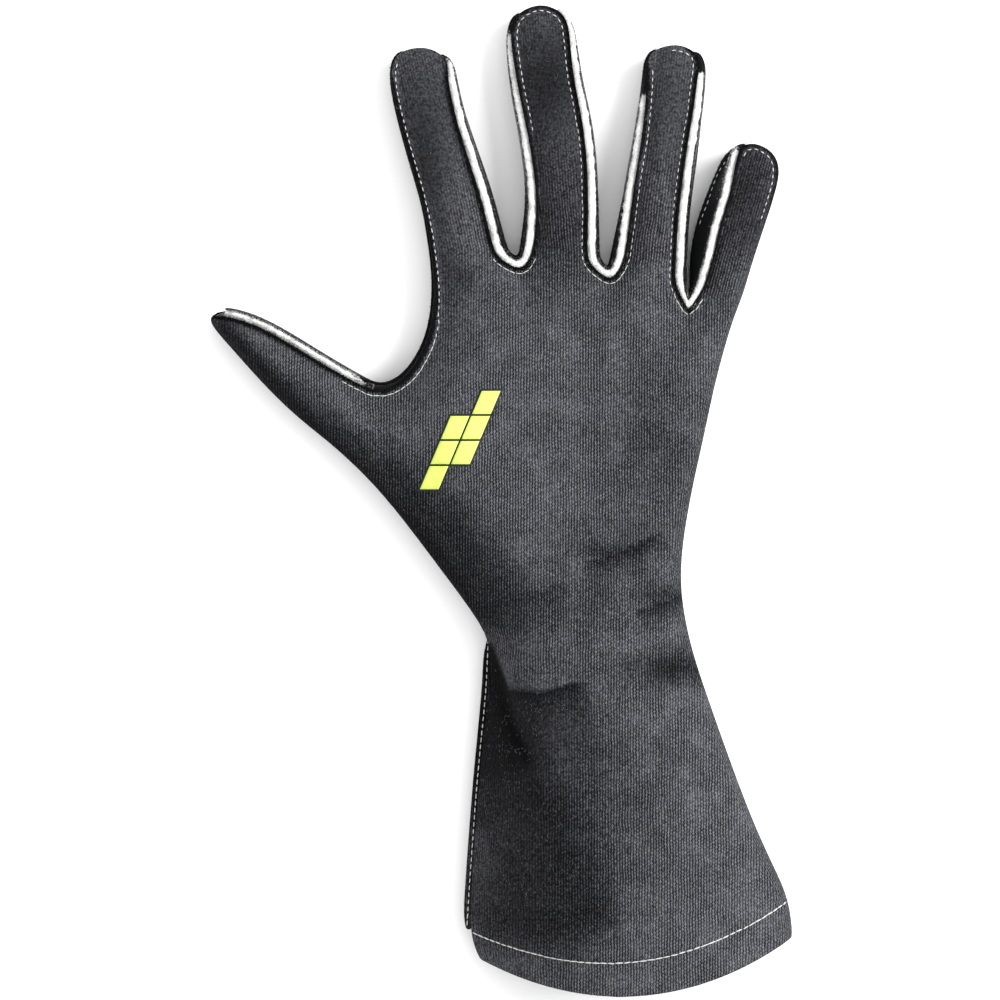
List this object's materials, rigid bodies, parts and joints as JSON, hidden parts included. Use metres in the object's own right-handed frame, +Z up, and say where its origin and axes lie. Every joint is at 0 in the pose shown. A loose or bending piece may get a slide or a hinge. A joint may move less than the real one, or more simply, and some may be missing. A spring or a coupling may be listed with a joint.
{
  "type": "racing glove",
  "caption": "Soft knit racing glove for the right hand with a flared gauntlet, outside finger seams and a suede palm, lying palm down.",
  "frame": {"origin": "centre of the bounding box at its base, on the surface that the palm lies on", "axes": "+Y along the fingers from the hem of the gauntlet to the tip of the middle finger, +Z up out of the back of the hand, +X towards the little finger's side"},
  "size_m": [0.1998, 0.3379, 0.0426],
  "materials": {
    "knit": "charcoal heathered knit, matte",
    "suede": "black suede, matte",
    "lining": "white felted lining, raw edge",
    "print": "lime printed badge with dark joints"
  },
  "bodies": {
    "root": {"back_panel": "knit", "palm_panel": "suede", "fourchette_thumb_index": "suede", "lining_edge_thumb_index": "lining", "fourchette_index_middle": "suede", "lining_edge_index_middle": "lining", "fourchette_middle_ring": "suede", "lining_edge_middle_ring": "lining", "fourchette_ring_little": "suede", "lining_edge_ring_little": "lining", "hem_facing": "knit", "badge": "print"}
  },
  "joints": []
}
